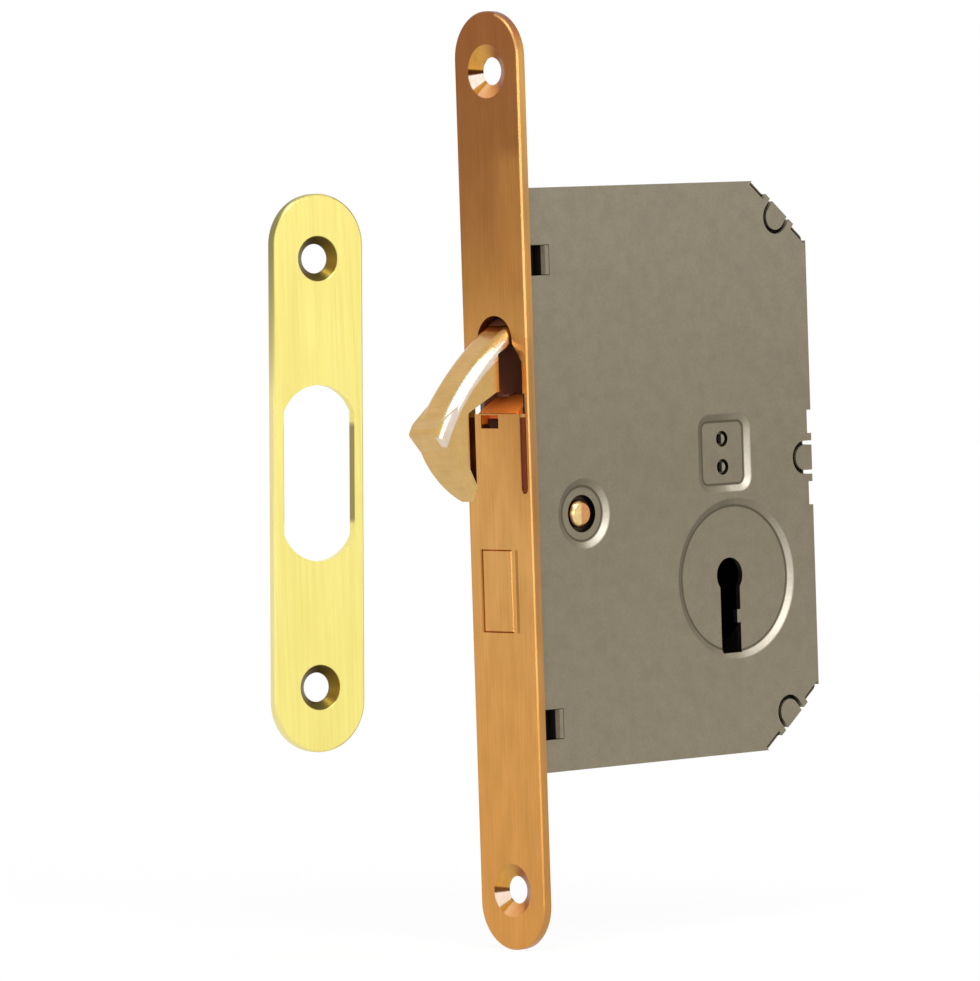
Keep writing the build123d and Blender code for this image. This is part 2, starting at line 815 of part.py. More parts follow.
def make_levers():
    """Two lever tumblers whose gates let the slide's stump through only when they are lifted."""
    hub_half = lever_hub / 2
    for number, near_y in enumerate(lever_faces):
        with BuildPart() as lever:
            with BuildSketch(side(near_y + lever_thickness)):
                with BuildLine():
                    Polyline(
                        (lever_left, lever_bottom),
                        (key_x + lever_heel, lever_bottom),
                        (lever_post_x, lever_post_z - hub_half),
                        (lever_post_x, lever_post_z + hub_half),
                        (lever_left, lever_post_z + hub_half),
                        close=True,
                    )
                make_face()
                with Locations((lever_post_x, lever_post_z)):
                    Circle(hub_half)
                    Circle(lever_post_diameter / 2 + pin_fit, mode=Mode.SUBTRACT)
                with Locations((key_x, key_z)):
                    Circle(belly_radius + number * belly_step, mode=Mode.SUBTRACT)
                with Locations((lever_left + lever_window_wall, lever_window_foot)):
                    Rectangle(
                        lever_window_length, lever_window_height, align=(Align.MIN, Align.MIN), mode=Mode.SUBTRACT
                    )
                with Locations((lever_gate_left, lever_window_foot + lever_window_height)):
                    Rectangle(lever_gate_width, lever_gate_drop, align=(Align.MIN, Align.MAX))
            extrude(amount=lever_thickness)
        finish(lever, "lever_" + str(number + 1))


def make_lever_springs():
    """Leaf springs that stand on the levers and press against the spring post."""
    lever_top = lever_post_z + lever_hub / 2
    leaf_end = spring_post_z - spring_post_diameter / 2 - spring_gap - spring_strip / 2
    for number, near_y in enumerate(lever_faces):
        with BuildPart() as leaf:
            with BuildSketch(side(near_y + lever_thickness)):
                with BuildLine():
                    Polyline(
                        (spring_root_x, lever_top),
                        (spring_root_x, lever_top + spring_knee),
                        (spring_post_x, leaf_end),
                        (spring_post_x - spring_knee, leaf_end),
                    )
                trace(line_width=spring_strip)
            extrude(amount=lever_thickness)
        finish(leaf, "lever_spring_" + str(number + 1))


def make_strike():
    turn = radians(strike_turn)
    lean = radians(strike_lean)
    front = Plane(
        origin=(strike_x, 0, strike_z),
        x_dir=(cos(turn) * cos(lean), -sin(turn) * cos(lean), -sin(lean)),
        z_dir=(-sin(turn), -cos(turn), 0),
    )
    half = strike_slot_width / 2
    end_rise = strike_slot_round - sqrt(strike_slot_round**2 - half**2)
    straight = strike_slot_length / 2 - end_rise
    with BuildPart() as strike_plate:
        with BuildSketch(front):
            round_ended(strike_length, strike_width)
        extrude(amount=-strike_thickness)
        chamfer(strike_plate.faces().sort_by_distance(front.origin)[0].edges(), strike_edge)
        with BuildSketch(front):
            with BuildLine():
                Line((half, -straight), (half, straight))
                ThreePointArc((half, straight), (0, strike_slot_length / 2), (-half, straight))
                Line((-half, straight), (-half, -straight))
                ThreePointArc((-half, -straight), (0, -strike_slot_length / 2), (half, -straight))
            make_face()
        extrude(amount=-strike_thickness, mode=Mode.SUBTRACT)
        with Locations(front):
            with GridLocations(0, strike_screw_pitch, 1, 2):
                CounterSinkHole(
                    strike_screw_bore / 2,
                    strike_screw_mouth / 2,
                    strike_thickness,
                    sink_angle(strike_screw_mouth, strike_screw_bore, strike_thickness),
                )
    finish(strike_plate, "strike_plate")


os.makedirs("parts", exist_ok=True)
make_forend()
make_anchor_block()
make_forend_lugs()
make_case_box()
make_case_cover()
make_hook()
make_pins()
make_bolt_slide()
make_slide_guide()
make_levers()
make_lever_springs()
make_strike()
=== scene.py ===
from math import cos, radians, sin
import bpy
from mathutils import Matrix, Vector


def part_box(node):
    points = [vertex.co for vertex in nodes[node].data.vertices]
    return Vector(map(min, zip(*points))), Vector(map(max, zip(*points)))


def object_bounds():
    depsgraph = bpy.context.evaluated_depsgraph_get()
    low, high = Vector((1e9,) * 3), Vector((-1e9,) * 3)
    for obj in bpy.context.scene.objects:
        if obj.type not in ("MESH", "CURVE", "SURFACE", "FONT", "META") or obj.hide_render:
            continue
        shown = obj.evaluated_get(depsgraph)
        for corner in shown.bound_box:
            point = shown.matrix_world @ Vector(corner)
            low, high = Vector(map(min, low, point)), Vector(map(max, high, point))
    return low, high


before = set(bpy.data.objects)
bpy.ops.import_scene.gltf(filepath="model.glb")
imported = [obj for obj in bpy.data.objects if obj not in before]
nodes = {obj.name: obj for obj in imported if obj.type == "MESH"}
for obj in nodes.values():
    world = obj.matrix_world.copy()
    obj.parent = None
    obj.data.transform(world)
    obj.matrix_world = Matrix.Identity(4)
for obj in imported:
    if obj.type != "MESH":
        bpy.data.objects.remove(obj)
cadBox = [list(corner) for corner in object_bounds()]
print("loaded", len(nodes), "nodes")

mm = 0.001


def span(low, high):    # a range given in millimetres
    return low * mm, high * mm


def middle(name):
    low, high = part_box(name)
    return [(first + last) / 2 for first, last in zip(low, high)]


def shade(red, green, blue):    # a screen colour, 0 to 255, as the linear colour of a shader
    parts = [part / 255 for part in (red, green, blue)]
    return tuple(((part + 0.055) / 1.055) ** 2.4 if part > 0.04 else part / 12.92 for part in parts) + (1,)


# Places on the lock that its finishes follow

pivot = middle("hook_pivot_pin")
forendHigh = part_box("forend_plate")[1]
blockLow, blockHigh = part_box("forend_anchor_block")
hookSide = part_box("hook_bolt")[0][1]
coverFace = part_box("case_cover")[0][1]
pressFloor = coverFace + 0.8 * mm    # face of the pressed places, further in than the cover's
pressWidth = 1.72 * mm    # how far a pressed wall runs in from its upper edge

# An outline is a rounded box: straight is half of its straight run along each axis and round is its corner's
# radius. keeps picks the plane that it lies in, and across is the way to its right.
roundHole = {"keeps": (1, 0, 1), "straight": (0, 0, 0), "across": (1, 0, 0)}    # on the case's broad sides
forendHole = {"keeps": (0, 1, 1), "straight": (0, 0, 0), "across": (0, -1, 0)}    # on the forend's face
keyOutline = dict(roundHole, centre=(61.3 * mm, 0, -23.6 * mm), round=17.3 * mm)
dishOutline = dict(roundHole, centre=(pivot[0], 0, pivot[2]), round=7.5 * mm)
pinOutline = dict(dishOutline, round=2.9 * mm)
hookRim = dict(dishOutline, round=41.7 * mm)    # the hook's back is round about its pivot
guideOutline = dict(
    roundHole,
    centre=(58.9 * mm, 0, 3.3 * mm),
    straight=(4.45 * mm, 0, 5.05 * mm),
    round=3.4 * mm,
)
upperScrew = dict(forendHole, centre=(0, 0, 85.5 * mm), round=5.7 * mm)
lowerScrew = dict(upperScrew, centre=(0, 0, -85.5 * mm))
forendEdge = dict(
    forendHole,
    centre=(0, 0, 0),
    straight=(0, 0, forendHigh[2] - forendHigh[1]),
    round=forendHigh[1],
)
# the two cut back corners of the case, each a line through the middle of its slant
upperSlant = dict(
    centre=(77.5 * mm, 0, 54.8 * mm),
    lean=radians(50.42),
    keeps=(1, 0, 0),
    straight=(0, 0, 0),
    round=0,
)
lowerSlant = dict(upperSlant, centre=(77.5 * mm, 0, -54.8 * mm), lean=-upperSlant["lean"])
strikeEdge = dict(
    roundHole,
    centre=(-49.6 * mm, 0, 4.2 * mm),
    turn=radians(12),
    lean=radians(-1.8),
    straight=(0, 0, 46.5 * mm),
    round=10.5 * mm,
)
strikeSlot = dict(strikeEdge, straight=(0, 0, 9.1 * mm), round=8.2 * mm)
strikeUpperScrew = dict(
    strikeEdge,
    centre=(-48.29 * mm, -0.28 * mm, 47.93 * mm),
    straight=(0, 0, 0),
    round=4.7 * mm,
)
strikeLowerScrew = dict(strikeUpperScrew, centre=(-50.91 * mm, 0.28 * mm, -39.53 * mm))


# Material parts

noiseLow, noiseHigh = 0.3, 0.7    # where nearly all of a noise texture's values lie
cloudDetail, grainDetail = 4, 3


def wire(tree, *pairs):
    for source, target in pairs:
        tree.links.new(source, target)


def feed(tree, socket, value):    # a link from another node, or a plain value
    if isinstance(value, bpy.types.NodeSocket):
        tree.links.new(value, socket)
    else:
        socket.default_value = value


def maths(tree, operation, first, second=0):
    node = tree.nodes.new("ShaderNodeMath")
    node.operation = operation
    feed(tree, node.inputs[0], first)
    feed(tree, node.inputs[1], second)
    return node.outputs["Value"]


def vectorMaths(tree, operation, first, second=(0, 0, 0)):
    node = tree.nodes.new("ShaderNodeVectorMath")
    node.operation = operation
    feed(tree, node.inputs[0], first)
    feed(tree, node.inputs[1], second)
    return node.outputs["Value" if operation in ("LENGTH", "DOT_PRODUCT") else "Vector"]


def rise(tree, value, start, end):    # 0 before start and 1 past end, or the other way where end is lower
    node = tree.nodes.new("ShaderNodeMapRange")
    node.interpolation_type = "SMOOTHSTEP"
    node.inputs["From Min"].default_value = start
    node.inputs["From Max"].default_value = end
    tree.links.new(value, node.inputs["Value"])
    return node.outputs["Result"]


def spread(tree, value, low, high, start=noiseLow, end=noiseHigh):    # start to end becomes low to high
    node = tree.nodes.new("ShaderNodeMapRange")
    node.inputs["From Min"].default_value = start
    node.inputs["From Max"].default_value = end
    node.inputs["To Min"].default_value = low
    node.inputs["To Max"].default_value = high
    tree.links.new(value, node.inputs["Value"])
    return node.outputs["Result"]


def ramp(tree, value, *stops):
    node = tree.nodes.new("ShaderNodeValToRGB")
    elements = node.color_ramp.elements
    elements[1].position, elements[1].color = stops[-1]
    elements[0].position, elements[0].color = stops[0]
    for position, colour in stops[1:-1]:
        elements.new(position).color = colour
    tree.links.new(value, node.inputs["Fac"])
    return node.outputs["Color"]


def mixColour(tree, share, first, second, blend="MIX"):
    mix = tree.nodes.new("ShaderNodeMix")
    mix.data_type = "RGBA"
    mix.blend_type = blend
    feed(tree, mix.inputs["Factor"], share)
    feed(tree, mix.inputs["A"], first)
    feed(tree, mix.inputs["B"], second)
    return mix.outputs["Result"]


def noise(tree, place, scale, stretch, detail):
    mapping = tree.nodes.new("ShaderNodeMapping")
    mapping.inputs["Scale"].default_value = stretch
    texture = tree.nodes.new("ShaderNodeTexNoise")
    texture.inputs["Scale"].default_value = scale
    texture.inputs["Detail"].default_value = detail
    wire(tree, (place, mapping.inputs["Vector"]), (mapping.outputs["Vector"], texture.inputs["Vector"]))
    return texture.outputs["Fac"]


def fromCentre(tree, place, outline):    # offset from the middle of an outline, turned square to it
    offset = vectorMaths(tree, "SUBTRACT", place, outline["centre"])
    for key, axis in (("turn", "Z_AXIS"), ("lean", "Y_AXIS")):
        if key in outline:
            rotate = tree.nodes.new("ShaderNodeVectorRotate")
            rotate.rotation_type = axis
            rotate.inputs["Angle"].default_value = outline[key]
            tree.links.new(offset, rotate.inputs["Vector"])
            offset = rotate.outputs["Vector"]
    return offset


def stepOut(tree, place, outline):    # how far a point lies outside an outline
    offset = fromCentre(tree, place, outline)
    offset = vectorMaths(tree, "ABSOLUTE", vectorMaths(tree, "MULTIPLY", offset, outline["keeps"]))
    offset = vectorMaths(tree, "SUBTRACT", offset, outline["straight"])
    offset = vectorMaths(tree, "MAXIMUM", offset, (0, 0, 0))
    return maths(tree, "SUBTRACT", vectorMaths(tree, "LENGTH", offset), outline["round"])


def zone(tree, place, paint):    # 1 where all of the paint's ranges hold, 0 outside them
    split = tree.nodes.new("ShaderNodeSeparateXYZ")
    tree.links.new(place, split.inputs["Vector"])
    ranges = [(split.outputs[axis], paint[axis]) for axis in "XYZ" if axis in paint]
    if "outline" in paint:
        ranges.append((stepOut(tree, place, paint["outline"]), paint["out"]))
    share = paint.get("share", 1)
    soft = paint["soft"]
    for value, (low, high) in ranges:
        share = maths(tree, "MULTIPLY", share, rise(tree, value, low - soft, low + soft))
        share = maths(tree, "MULTIPLY", share, rise(tree, value, high + soft, high - soft))
    return share


def heightTone(tree, height, look, tones):    # tones by height, in millimetres
    foot, top = look["heights"]
    return ramp(tree, height, *[((level * mm - foot) / (top - foot), tone) for level, tone in tones])


def dialTone(tree, place, outline, dial):    # tones round a hole, by degrees clockwise from its top
    offset = fromCentre(tree, place, outline)
    across = vectorMaths(tree, "DOT_PRODUCT", offset, outline["across"])
    upwards = vectorMaths(tree, "DOT_PRODUCT", offset, (0, 0, 1))
    bearing = maths(tree, "DEGREES", maths(tree, "ARCTAN2", across, upwards))
    turned = spread(tree, bearing, 0, 1, -180, 180)
    return ramp(tree, turned, *[((angle + 180) / 360, tone) for angle, tone in dial])


def mottle(tree, colour, texture, look, part):    # darker and lighter spots, multiplied into a colour
    spots = ramp(tree, texture, (noiseLow, look[part + "Dark"]), (noiseHigh, look[part + "Light"]))
    return mixColour(tree, 1, colour, spots, "MULTIPLY")


def metal(name, look):
    material = bpy.data.materials.new(name)
    material.use_nodes = True
    tree = material.node_tree
    shader = tree.nodes["Principled BSDF"]
    shader.inputs["Metallic"].default_value = look["metallic"]
    place = tree.nodes.new("ShaderNodeTexCoord").outputs["Object"]
    split = tree.nodes.new("ShaderNodeSeparateXYZ")
    tree.links.new(place, split.inputs["Vector"])

    # tone up the height of the lock, then the painted places
    height = spread(tree, split.outputs["Z"], 0, 1, *look["heights"])
    colour = heightTone(tree, height, look, look["tones"])
    for paint in look["paints"]:
        if "dial" in paint:
            tone = dialTone(tree, place, paint["outline"], paint["dial"])
        elif "tones" in paint:
            tone = heightTone(tree, height, look, paint["tones"])
        else:
            tone = paint["tone"]
        colour = mixColour(tree, zone(tree, place, paint), colour, tone)

    # clouds and grain
    cloud = noise(tree, place, look["cloudScale"], look["cloudStretch"], cloudDetail)
    grain = noise(tree, place, look["grainScale"], look["grainStretch"], grainDetail)
    colour = mottle(tree, colour, cloud, look, "cloud")
    colour = mottle(tree, colour, grain, look, "grain")
    tree.links.new(colour, shader.inputs["Base Color"])

    roughness = spread(tree, grain, look["smooth"], look["rough"])
    if "matt" in look:    # a place with a duller surface
        matt = look["matt"]
        dull = zone(tree, place, matt)
        roughness = maths(tree, "ADD", roughness, maths(tree, "MULTIPLY", dull, matt["rougher"]))
        metallic = spread(tree, dull, look["metallic"], matt["metallic"], 0, 1)
        tree.links.new(metallic, shader.inputs["Metallic"])
    tree.links.new(roughness, shader.inputs["Roughness"])
    bump = tree.nodes.new("ShaderNodeBump")
    bump.inputs["Strength"].default_value = look["bumpStrength"]
    bump.inputs["Distance"].default_value = look["bumpDepth"]
    wire(tree, (grain, bump.inputs["Height"]), (bump.outputs["Normal"], shader.inputs["Normal"]))
    return material


def dress(material, *names):
    for name in names:
        piece = nodes[name]
        piece.data.materials.clear()
        piece.data.materials.append(material)


# Forend, brushed upwards; its tones up the height are a painted reflection, browner at the top

sinkReflectionDial = (    # painted reflections round a turned countersink, light and dark by bearing
    (-180, shade(232, 166, 104)), (-152, shade(240, 184, 134)), (-146, shade(190, 130, 44)),
    (-134, shade(196, 138, 60)), (-129, shade(255, 236, 222)), (-100, shade(255, 232, 216)),
    (-96, shade(70, 34, 10)), (-86, shade(76, 38, 12)), (-81, shade(212, 152, 68)),
    (-20, shade(206, 156, 80)), (30, shade(168, 112, 54)), (75, shade(160, 88, 38)),
    (130, shade(150, 74, 26)), (152, shade(214, 148, 70)), (180, shade(232, 166, 104)),
)
edgeTones = (    # long edge on the cover's side, catching the light
    (-98, shade(190, 136, 74)), (-45, shade(188, 138, 80)), (-12, shade(174, 127, 76)),
    (14, shade(164, 127, 82)), (30, shade(184, 136, 82)), (40, shade(202, 144, 78)),
    (60, shade(186, 142, 86)), (88, shade(208, 158, 86)), (93, shade(176, 112, 62)),
    (98, shade(120, 66, 44)),
)
screwSink = {"dial": sinkReflectionDial, "out": span(-8, -0.12), "soft": 0.12 * mm}
blockSide = {
    "tone": shade(158, 104, 44),
    "share": 0.85,
    "X": span(-0.1, 0.1),
    "Z": (blockLow[2], blockHigh[2]),
    "soft": 0.15 * mm,
}
slotWallShade = {"X": span(0.15, 3), "Z": span(-5, 13.4), "soft": 0.08 * mm}
# painted reflection: the tongue's bent lip is painted orange and made duller and less metallic
bentLipReflection = {"X": span(0.25, 12), "Y": span(-6.4, 6.4), "Z": span(12, 19), "soft": 0.2 * mm}
bronzeLook = {
    "metallic": 1.0,
    "heights": span(-98, 98),
    # painted reflection: the face is painted browner towards the top
    "tones": (
        (-98, shade(213, 151, 78)), (-40, shade(213, 155, 85)), (-8, shade(213, 159, 92)),
        (24, shade(204, 148, 80)), (40, shade(178, 125, 64)), (54, shade(161, 108, 57)),
        (70, shade(151, 99, 52)), (98, shade(152, 94, 51)),
    ),
    "paints": (
        {    # painted reflection: the half beside the cover is lighter above the window
            "tone": shade(180, 124, 64),
            "share": 0.75,
            "Y": span(-12, -2.5),
            "Z": span(40, 68),
            "soft": 2.5 * mm,
        },
        {
            "tones": edgeTones,
            "outline": forendEdge,
            "out": span(-0.1, 3),
            "Y": span(-12, 0),
            "soft": 0.08 * mm,
        },
        {    # painted highlight along the corner between the face and that edge
            "tone": shade(228, 176, 112),
            "share": 0.7,
            "outline": forendEdge,
            "out": span(-0.5, -0.1),
            "Y": span(-12, -3),
            "Z": span(30, 98),
            "soft": 0.15 * mm,
        },
        # the two sides of the riveted block, marked deeper than its ends
        dict(blockSide, Y=(blockHigh[1] - 0.4 * mm, blockHigh[1] + 0.45 * mm)),
        dict(blockSide, Y=(blockLow[1] - 0.45 * mm, blockLow[1] + 0.4 * mm)),
        # painted shade on the walls of the two long slots beside the tongue
        dict(slotWallShade, tone=shade(128, 62, 40), Y=span(-9.1, -6.6)),
        dict(slotWallShade, tone=shade(112, 58, 34), Y=span(6.6, 9.1)),
        # painted reflections in the two screw countersinks
        dict(screwSink, outline=upperScrew),
        dict(screwSink, outline=lowerScrew, share=0.85),
        # painted orange reflection on the bent lip
        dict(bentLipReflection, tone=shade(240, 132, 44)),
    ),
    "matt": dict(bentLipReflection, metallic=0.25, rougher=0.3),
    "cloudScale": 260,
    "cloudStretch": (1, 1, 0.35),
    "cloudDark": (0.93, 0.92, 0.88, 1),
    "cloudLight": (1.06, 1.07, 1.1, 1),
    "grainScale": 2600,
    "grainStretch": (1, 1, 0.02),
    "grainDark": (0.9, 0.88, 0.85, 1),
    "grainLight": (1.06, 1.06, 1.06, 1),
    "smooth": 0.3,
    "rough": 0.4,
    "bumpStrength": 0.2,
    "bumpDepth": 0.02 * mm,
}
dress(metal("forendBronze", bronzeLook), "forend_plate", "forend_anchor_block")


# Hook, polished gold outside the case

hookInsideShade = {"X": span(1.2, 90), "soft": 0.3 * mm}    # painted shade: dull dark brown where it stays inside the case
hookLook = {
    "metallic": 1.0,
    "heights": span(-20, 40),
    "tones": ((-20, shade(206, 172, 112)), (10, shade(205, 168, 106)), (40, shade(204, 160, 92))),
    "paints": (
        {    # painted highlight: the rounded corner along its back is painted almost white, under the strip lamp's reflection
            "tone": shade(224, 208, 190),
            "outline": hookRim,
            "out": span(-2.7, -0.25),
            "Y": (hookSide - 1 * mm, hookSide + 1.6 * mm),
            "soft": 0.3 * mm,
        },
        dict(hookInsideShade, tone=shade(136, 84, 64)),
    ),
    "matt": dict(hookInsideShade, metallic=0.25, rougher=0.3),
    "cloudScale": 300,
    "cloudStretch": (1, 1, 1),
    "cloudDark": (0.94, 0.93, 0.9, 1),
    "cloudLight": (1.05, 1.05, 1.08, 1),
    "grainScale": 1500,
    "grainStretch": (1, 0.15, 1),
    "grainDark": (0.95, 0.94, 0.92, 1),
    "grainLight": (1.03, 1.03, 1.03, 1),
    "smooth": 0.17,
    "rough": 0.24,
    "bumpStrength": 0.12,
    "bumpDepth": 0.02 * mm,
}
dress(metal("hookGold", hookLook), "hook_bolt")
print("forend and hook dressed")


# Case, matt yellow-passivated sheet

# painted shade, near black, for seams, slits and holes
paintedShadeTone = shade(16, 14, 12)
creaseShadeTone = shade(84, 76, 60)    # painted shade in the foot of each pressed wall
pressLightDial = (    # painted light and shade of a pressed wall, bright on its lower right and dark on its upper left
    (-180, shade(148, 139, 121)), (-160, shade(126, 117, 98)), (-90, shade(112, 104, 87)),
    (-10, shade(114, 105, 88)), (35, shade(134, 125, 106)), (70, shade(172, 164, 148)),
    (125, shade(204, 196, 181)), (165, shade(186, 178, 162)), (180, shade(148, 139, 121)),
)
caseLook = {
    "metallic": 0.8,
    "heights": span(-61, 61),
    "tones": ((-61, shade(134, 125, 106)), (0, shade(129, 120, 101)), (61, shade(137, 129, 110))),
    "cloudScale": 330,
    "cloudStretch": (1, 1, 1),
    "cloudDark": (0.95, 0.95, 0.95, 1),
    "cloudLight": (1.05, 1.05, 1.04, 1),
    "grainScale": 2400,
    "grainStretch": (1, 1, 1),
    "grainDark": (0.9, 0.9, 0.88, 1),
    "grainLight": (1.06, 1.06, 1.08, 1),
    "smooth": 0.44,
    "rough": 0.56,
    "bumpStrength": 0.25,
    "bumpDepth": 0.03 * mm,
}


def pressPaints(outline):    # painted light and shade on the wall of a pressed place, and painted shade as a dark line at its foot
    pressed = {"outline": outline, "Y": (coverFace - 1 * mm, -5.8 * mm)}
    return (
        dict(pressed, dial=pressLightDial, out=(-pressWidth * 0.95, -0.2 * mm), soft=0.2 * mm),
        dict(
            pressed,
            tone=creaseShadeTone,
            share=0.9,
            out=(-pressWidth - 0.3 * mm, -pressWidth + 0.22 * mm),
            soft=0.15 * mm,
        ),
    )


coverLook = dict(caseLook, paints=(
    *pressPaints(keyOutline),
    *pressPaints(dishOutline),
    *pressPaints(guideOutline),
    # painted shade, near black, on the inner side, which shows as a seam round the edge and in what is cut
    # through a pressed floor
    {"tone": paintedShadeTone, "Y": (pressFloor + 0.05 * mm, 0), "soft": 0.02 * mm},
))
dress(metal("coverSteel", coverLook), "case_cover", "forend_lug_upper", "forend_lug_lower")

keyholeShade = {    # painted shade, near black, where the key turns
    "tone": paintedShadeTone,
    "outline": keyOutline,
    "out": span(-40, -0.5),
    "Y": (pressFloor + 0.1 * mm, -pressFloor),
    "soft": 0.1 * mm,
}
wallTopShade = {    # painted shade on the walls' upper edges and in their slits, short of their outer sides
    "tone": paintedShadeTone,
    "X": span(-1, 84.75),
    "Y": (pressFloor - 0.05 * mm, pressFloor + 2.3 * mm),
    "out": span(0.25, 300),
    "soft": 0.04 * mm,
}
insideFloorShade = {    # painted shade: the inner side of the floor is painted brown and made dull where it shows through the window
    "X": span(2, 30),
    "Y": (-5 * mm, -pressFloor),
    "Z": span(-59.5, 59.5),
    "soft": 0.1 * mm,
}
boxLook = dict(
    caseLook,
    paints=(
        keyholeShade,
        dict(wallTopShade, outline=upperSlant, Z=span(0, 60.75)),
        dict(wallTopShade, outline=lowerSlant, Z=span(-60.75, 0)),
        dict(insideFloorShade, tone=shade(160, 104, 86)),
    ),
    matt=dict(insideFloorShade, metallic=0.1, rougher=0.2),
)
dress(metal("boxSteel", boxLook), "case_box")
print("case dressed")


# Strike, bright brass brushed lengthwise

strikeSinkShadeDial = (    # painted shade and reflections round its countersinks
    (-180, shade(104, 94, 44)), (-90, shade(122, 116, 70)), (-20, shade(90, 80, 40)),
    (30, shade(84, 66, 26)), (70, shade(112, 88, 30)), (110, shade(120, 94, 34)),
    (150, shade(92, 76, 30)), (180, shade(104, 94, 44)),
)
strikeEdgeShadeDial = (    # painted shade round its outer edge, darkest where the upper end turns down
    (-180, shade(236, 224, 150)), (-34, shade(232, 219, 146)), (-18, shade(176, 165, 102)),
    (-12, shade(134, 124, 70)), (-6, shade(134, 124, 70)), (-1, shade(196, 186, 122)),
    (12, shade(232, 220, 150)), (180, shade(236, 224, 150)),
)
strikeSink = {"dial": strikeSinkShadeDial, "out": span(-6, -0.1), "soft": 0.12 * mm}
strikeLook = {
    "metallic": 1.0,
    "heights": span(-60, 70),
    "tones": ((-60, shade(243, 230, 131)), (0, shade(241, 228, 135)), (70, shade(238, 223, 129))),
    "paints": (
        # painted shade on the walls of the slot
        {"tone": shade(124, 112, 64), "outline": strikeSlot, "out": span(-4, 0.05), "soft": 0.1 * mm},
        dict(strikeSink, outline=strikeUpperScrew),
        dict(strikeSink, outline=strikeLowerScrew),
        {"dial": strikeEdgeShadeDial, "outline": strikeEdge, "out": span(-0.3, 2), "soft": 0.15 * mm},
    ),
    "cloudScale": 120,
    "cloudStretch": (1, 1, 0.4),
    "cloudDark": (0.97, 0.96, 0.92, 1),
    "cloudLight": (1.02, 1.02, 1.06, 1),
    "grainScale": 2600,
    "grainStretch": (1, 1, 0.015),
    "grainDark": (0.97, 0.96, 0.92, 1),
    "grainLight": (1.02, 1.02, 1.04, 1),
    "smooth": 0.28,
    "rough": 0.38,
    "bumpStrength": 0.15,
    "bumpDepth": 0.02 * mm,
}
dress(metal("strikeBrass", strikeLook), "strike_plate")
print("strike dressed")


# Pivot pin, turned brass

pinLook = {
    "metallic": 1.0,
    "heights": span(-20, 20),
    "tones": ((-20, shade(212, 150, 98)), (20, shade(215, 155, 100))),
    "paints": (
        # painted highlight on the pin's half towards the forend
        {"tone": shade(240, 212, 150), "X": (0, pivot[0] - 0.3 * mm), "soft": 0.4 * mm},
        # painted shade round the pin's edge
        {"tone": shade(120, 82, 48), "outline": pinOutline, "out": span(-0.3, 3), "soft": 0.2 * mm},
    ),
    "cloudScale": 900,
    "cloudStretch": (1, 1, 1),
    "cloudDark": (0.85, 0.84, 0.8, 1),
    "cloudLight": (1.05, 1.05, 1.05, 1),
    "grainScale": 2400,
    "grainStretch": (1, 1, 1),
    "grainDark": (0.9, 0.88, 0.85, 1),
    "grainLight": (1.05, 1.05, 1.05, 1),
    "smooth": 0.25,
    "rough": 0.4,
    "bumpStrength": 0.25,
    "bumpDepth": 0.03 * mm,
}
dress(metal("pinBrass", pinLook), "hook_pivot_pin")


# Inner pieces, bright zinc unless another look says more

zincLook = {
    "metallic": 1.0,
    "heights": span(-61, 61),
    "tones": ((-61, shade(170, 168, 160)), (61, shade(176, 174, 166))),
    # painted shade round the keyhole
    "paints": (keyholeShade,),
    "cloudScale": 400,
    "cloudStretch": (1, 1, 1),
    "cloudDark": (0.8, 0.8, 0.78, 1),
    "cloudLight": (1.05, 1.05, 1.05, 1),
    "grainScale": 1800,
    "grainStretch": (1, 1, 1),
    "grainDark": (0.88, 0.88, 0.86, 1),
    "grainLight": (1.04, 1.04, 1.04, 1),
    "smooth": 0.28,
    "rough": 0.45,
    "bumpStrength": 0.2,
    "bumpDepth": 0.03 * mm,
}
leverLook = dict(    # stamped brass levers
    zincLook,
    tones=((-61, shade(198, 166, 96)), (61, shade(204, 172, 104))),
    grainStretch=(0.05, 1, 1),
)
springLook = dict(    # blued leaf springs
    zincLook,
    tones=((-61, shade(86, 88, 100)), (61, shade(94, 96, 108))),
    grainStretch=(0.05, 1, 1),
    smooth=0.2,
    rough=0.34,
)
washerShadeLook = dict(zincLook, tones=((-61, shade(58, 48, 38)), (61, shade(64, 52, 42))))    # painted shade: dark where they sit in the gap round the pin
guideLook = dict(    # painted shade on the hook's side of the two posts
    zincLook,
    tones=((-61, shade(150, 142, 124)), (61, shade(154, 146, 128))),
    paints=(
        {"tone": shade(30, 26, 22), "X": (0, guideOutline["centre"][0] + 0.05 * mm), "soft": 0.25 * mm},
    ),
)
dress(
    metal("innerZinc", zincLook),
    "hook_drive_stud", "hook_stop_pin", "bolt_slide", "slide_stump",
    "lever_post", "lever_spacer", "spring_post",
)
dress(metal("leverBrass", leverLook), "lever_1", "lever_2")
dress(metal("springSteel", springLook), "lever_spring_1", "lever_spring_2")
dress(metal("shadedWasherSteel", washerShadeLook), "hook_washer_near", "hook_washer_far")
dress(metal("guideSteel", guideLook), "slide_guide")
print("inner pieces dressed")


# Floor and backdrop

studio = {
    "reach": 4.0,    # half the floor's width
    "white": (0.93, 0.93, 0.93, 1),
    "floorRoughness": 0.9,
    "nearShare": 0.9,    # how much of the floor's look is plain white near the lock
    "fadeStart": 0.15,    # from here outwards it turns all white, up to fadeEnd
    "fadeEnd": 0.5,
    "roomLight": 0.64,    # light of the room on the lock
}


# 1 for what the camera, a reflection or a clear piece sees, 0 for the light on the lock
def whiteShare(tree):
    path = tree.nodes.new("ShaderNodeLightPath")
    seen = maths(tree, "MAXIMUM", path.outputs["Is Camera Ray"], path.outputs["Is Glossy Ray"])
    return maths(tree, "MAXIMUM", seen, path.outputs["Is Transmission Ray"])


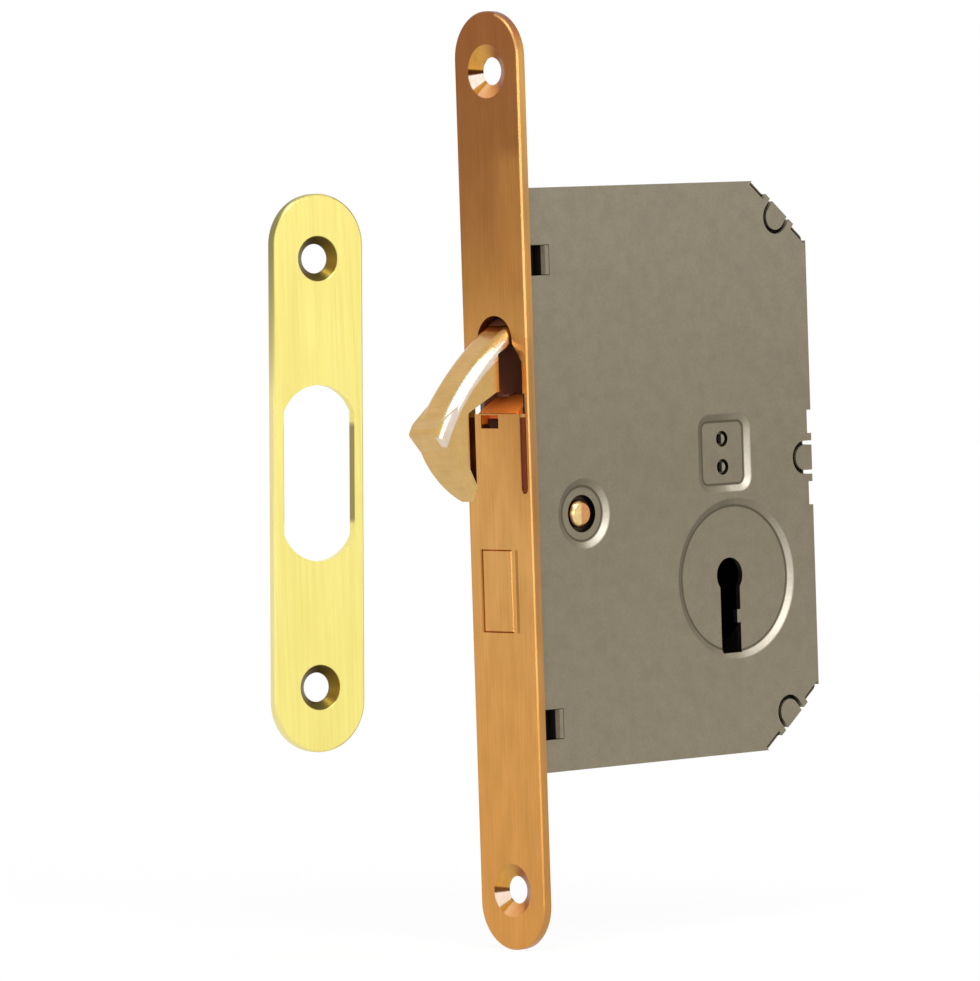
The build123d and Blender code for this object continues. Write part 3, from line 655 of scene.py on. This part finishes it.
def makeFloor():
    bpy.ops.object.select_all(action="DESELECT")
    bpy.ops.mesh.primitive_plane_add(size=2 * studio["reach"], location=(0, 0, cadBox[0][2]))
    floor = bpy.context.object
    floor.name = "studioFloor"
    material = bpy.data.materials.new("studioWhite")
    material.use_nodes = True
    tree = material.node_tree
    shader = tree.nodes["Principled BSDF"]
    shader.inputs["Base Color"].default_value = studio["white"]
    shader.inputs["Roughness"].default_value = studio["floorRoughness"]
    glow = tree.nodes.new("ShaderNodeEmission")
    place = tree.nodes.new("ShaderNodeTexCoord").outputs["Object"]
    away = vectorMaths(tree, "LENGTH", place)
    fade = spread(tree, away, studio["nearShare"], 1, studio["fadeStart"], studio["fadeEnd"])
    mix = tree.nodes.new("ShaderNodeMixShader")
    wire(
        tree,
        (maths(tree, "MULTIPLY", whiteShare(tree), fade), mix.inputs["Fac"]),
        (shader.outputs["BSDF"], mix.inputs[1]),
        (glow.outputs["Emission"], mix.inputs[2]),
        (mix.outputs["Shader"], tree.nodes["Material Output"].inputs["Surface"]),
    )
    floor.data.materials.append(material)


def makeWorld():
    world = bpy.data.worlds.new("studioWorld")
    bpy.context.scene.world = world
    world.use_nodes = True
    tree = world.node_tree
    background = tree.nodes["Background"]
    background.inputs["Color"].default_value = (1, 1, 1, 1)
    strength = spread(tree, whiteShare(tree), studio["roomLight"], 1, 0, 1)
    tree.links.new(strength, background.inputs["Strength"])


# Lamps: towards is a lamp's direction from the lock, and along is that of its long side

lamps = {
    "keyLamp": {
        "towards": (0, -0.9, 0.42),
        "along": (1, 0, 0),
        "away": 1.5,
        "size": (0.5, 0.7),
        "power": 6.0,
    },
    "stripLamp": {    # its reflection is the bright band along the hook
        "towards": (-0.28, -0.42, 0.86),
        "along": (0.4, -0.83, -0.35),
        "away": 1.2,
        "size": (0.3, 1.1),
        "power": 8.5,
    },
    "fillLamp": {    # lights the inside of the window
        "towards": (-0.8, -0.6, 0.12),
        "along": (0, 0, 1),
        "away": 1.3,
        "size": (0.2, 0.3),
        "power": 2.2,
    },
}


def makeLamps():
    for name, lamp in lamps.items():
        towards = Vector(lamp["towards"]).normalized()
        along = Vector(lamp["along"])
        along = (along - towards * along.dot(towards)).normalized()
        bpy.ops.object.light_add(type="AREA", location=towards * lamp["away"])
        light = bpy.context.object
        light.name = name
        light.data.shape = "RECTANGLE"
        light.data.size, light.data.size_y = lamp["size"]
        light.data.energy = lamp["power"]
        light.rotation_euler = Matrix((along.cross(towards), along, towards)).transposed().to_euler()


makeFloor()
makeWorld()
makeLamps()
print("studio and lamps done")


# Camera, at the photograph's viewing angle

view = {
    "azimuth": -42.485,
    "elevation": 2.184,
    "roll": -1.842,
    "distance": 1.546394,
    "focalPixels": 7417.15,
    "originPixel": (499.031, 481.756),    # where the middle of the forend lies in the picture
    "imageSize": (980, 981),
    "sensor": 36.0,
}


def makeCamera():
    azimuth = radians(view["azimuth"])
    elevation = radians(view["elevation"])
    roll = radians(view["roll"])
    back = Vector((sin(azimuth) * cos(elevation), -cos(azimuth) * cos(elevation), sin(elevation)))
    right = Vector((cos(azimuth), sin(azimuth), 0))
    up = back.cross(right)
    across = right * cos(roll) + up * sin(roll)
    upright = up * cos(roll) - right * sin(roll)
    bpy.ops.object.camera_add()
    camera = bpy.context.object
    turn = Matrix((across, upright, back)).transposed().to_4x4()
    camera.matrix_world = Matrix.Translation(back * view["distance"]) @ turn
    width, height = view["imageSize"]
    longSide = max(width, height)
    camera.data.sensor_width = view["sensor"]
    camera.data.lens = view["focalPixels"] * view["sensor"] / longSide
    camera.data.shift_x = (width / 2 - view["originPixel"][0]) / longSide
    camera.data.shift_y = (view["originPixel"][1] - height / 2) / longSide
    bpy.context.scene.camera = camera


makeCamera()
bpy.context.scene.view_settings.view_transform = "Standard"
print("camera done")
